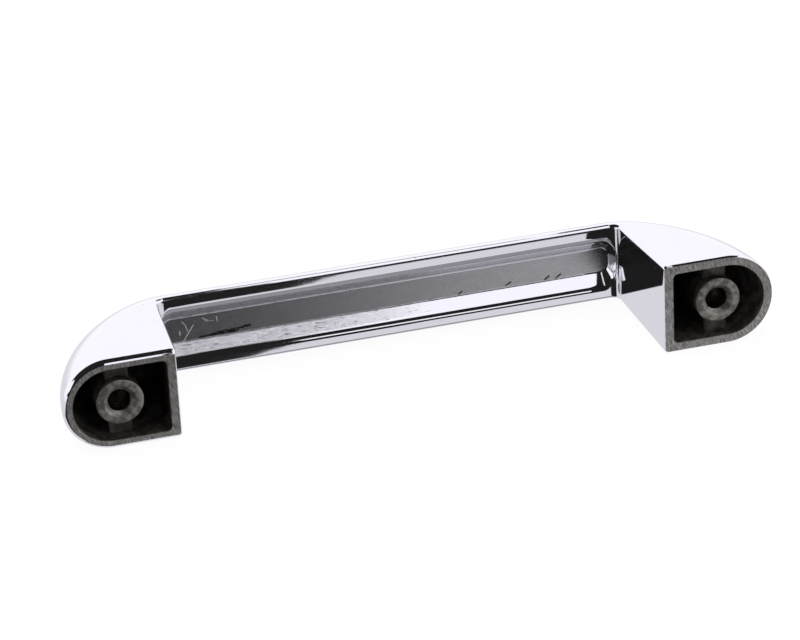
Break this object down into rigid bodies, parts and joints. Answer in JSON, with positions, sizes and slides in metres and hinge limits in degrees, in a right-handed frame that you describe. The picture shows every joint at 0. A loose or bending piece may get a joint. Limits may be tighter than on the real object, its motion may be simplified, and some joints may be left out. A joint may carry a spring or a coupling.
{
  "type": "drawer handle",
  "caption": "Die-cast bow handle with a half-round grip, a shallow channel along its back and cored feet with tapped fixing bosses.",
  "frame": {"origin": "midway between the two tapped holes, in the plane of the feet, where the drawer front meets them", "axes": "+X along the handle, +Y out of the feet into the drawer front, so the grip lies towards -Y, +Z across the handle"},
  "size_m": [0.1658, 0.0381, 0.0218],
  "materials": {
    "chrome_plate": "bright chrome plate over die-cast zinc, worn and pitted, with a belt-ground rim on each foot"
  },
  "bodies": {
    "root": {"handle": "chrome_plate"}
  },
  "joints": []
}
